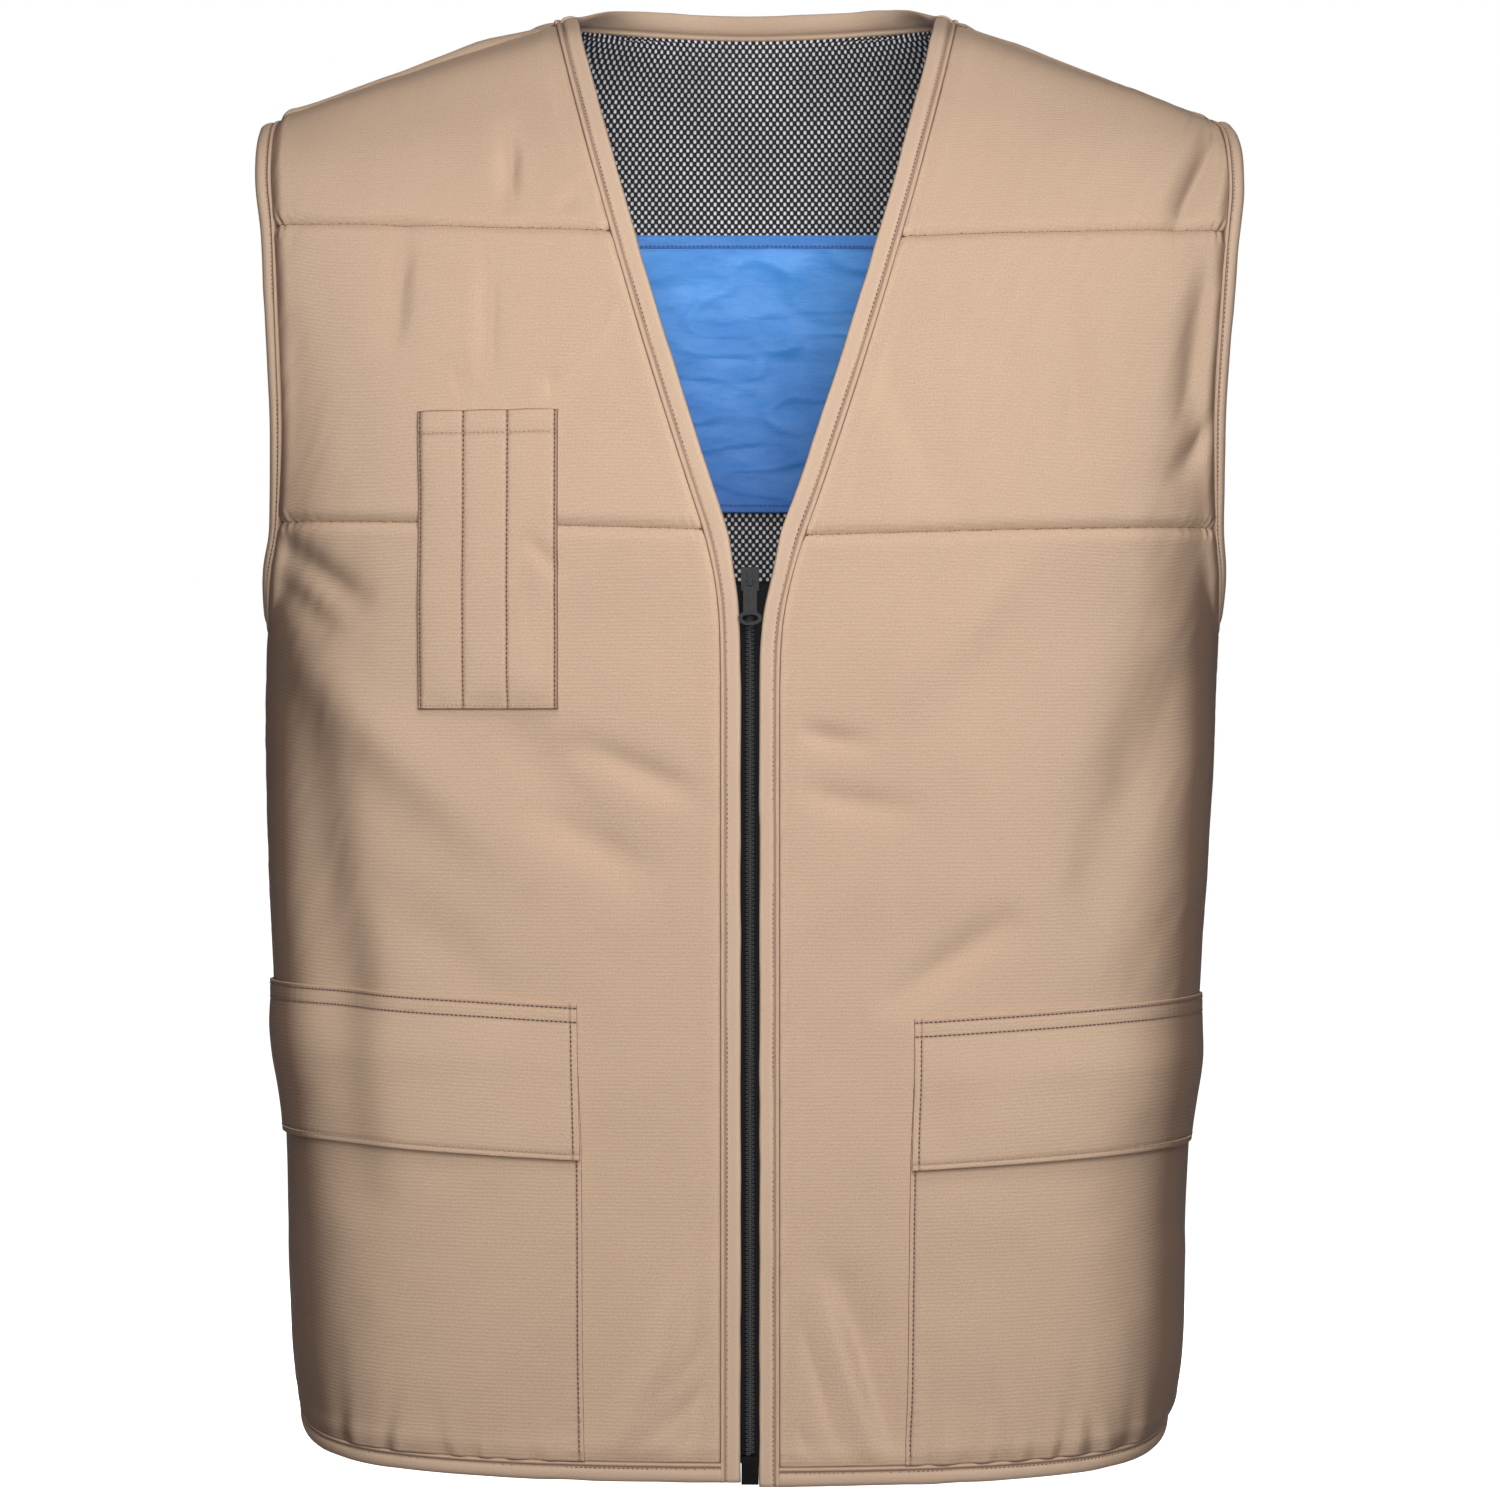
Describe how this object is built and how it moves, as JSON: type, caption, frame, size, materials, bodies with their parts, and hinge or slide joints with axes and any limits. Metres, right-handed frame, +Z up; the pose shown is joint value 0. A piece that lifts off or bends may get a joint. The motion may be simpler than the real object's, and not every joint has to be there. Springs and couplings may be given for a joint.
{
  "type": "cooling vest",
  "caption": "Sleeveless quilted cooling work vest with a V neck, front zip, lower flap pockets, a chest pen pocket and a cooling insert behind the neck.",
  "frame": {"origin": "midway between the two points where the shoulder seams meet the neck, where the wearer's shoulders carry the vest", "axes": "the front with the zip faces -Y, the wearer's left is +X, and +Z is up along the wearer's back"},
  "size_m": [0.4758, 0.2539, 0.7103],
  "materials": {
    "shell_cloth": "beige tightly ribbed cloth",
    "lining_net": "black spacer net",
    "insert_cloth": "blue creased cloth with a soft sheen",
    "zip_tape": "black woven tape and nylon coil",
    "zip_metal": "black satin coating"
  },
  "bodies": {
    "vest": {"front_panel_right": "shell_cloth", "front_panel_left": "shell_cloth", "back_panel": "shell_cloth", "front_edge_binding_right": "shell_cloth", "front_edge_binding_left": "shell_cloth", "back_neck_binding": "shell_cloth", "armhole_binding_right": "shell_cloth", "armhole_binding_left": "shell_cloth", "hem_binding": "shell_cloth", "cargo_pocket_right": "shell_cloth", "cargo_pocket_left": "shell_cloth", "pocket_flap_right": "shell_cloth", "pocket_flap_left": "shell_cloth", "pen_pocket": "shell_cloth", "back_lining": "lining_net", "cooling_insert": "insert_cloth", "insert_band_top": "insert_cloth", "insert_band_bottom": "insert_cloth", "zip_tape_right": "zip_tape", "zip_tape_left": "zip_tape", "zip_coil_right": "zip_tape", "zip_coil_left": "zip_tape", "zip_slider": "zip_metal", "zip_retainer_box": "zip_metal", "zip_insert_pin": "zip_metal"},
    "zip_pull": {"zip_pull": "zip_metal"}
  },
  "joints": [
    {"name": "zip_pull_hinge", "type": "hinge", "parent": "vest", "child": "zip_pull", "pos_m": [0, -0.14019, -0.2795], "axis": [-1, 0, 0], "range_deg": [0, 150]}
  ]
}
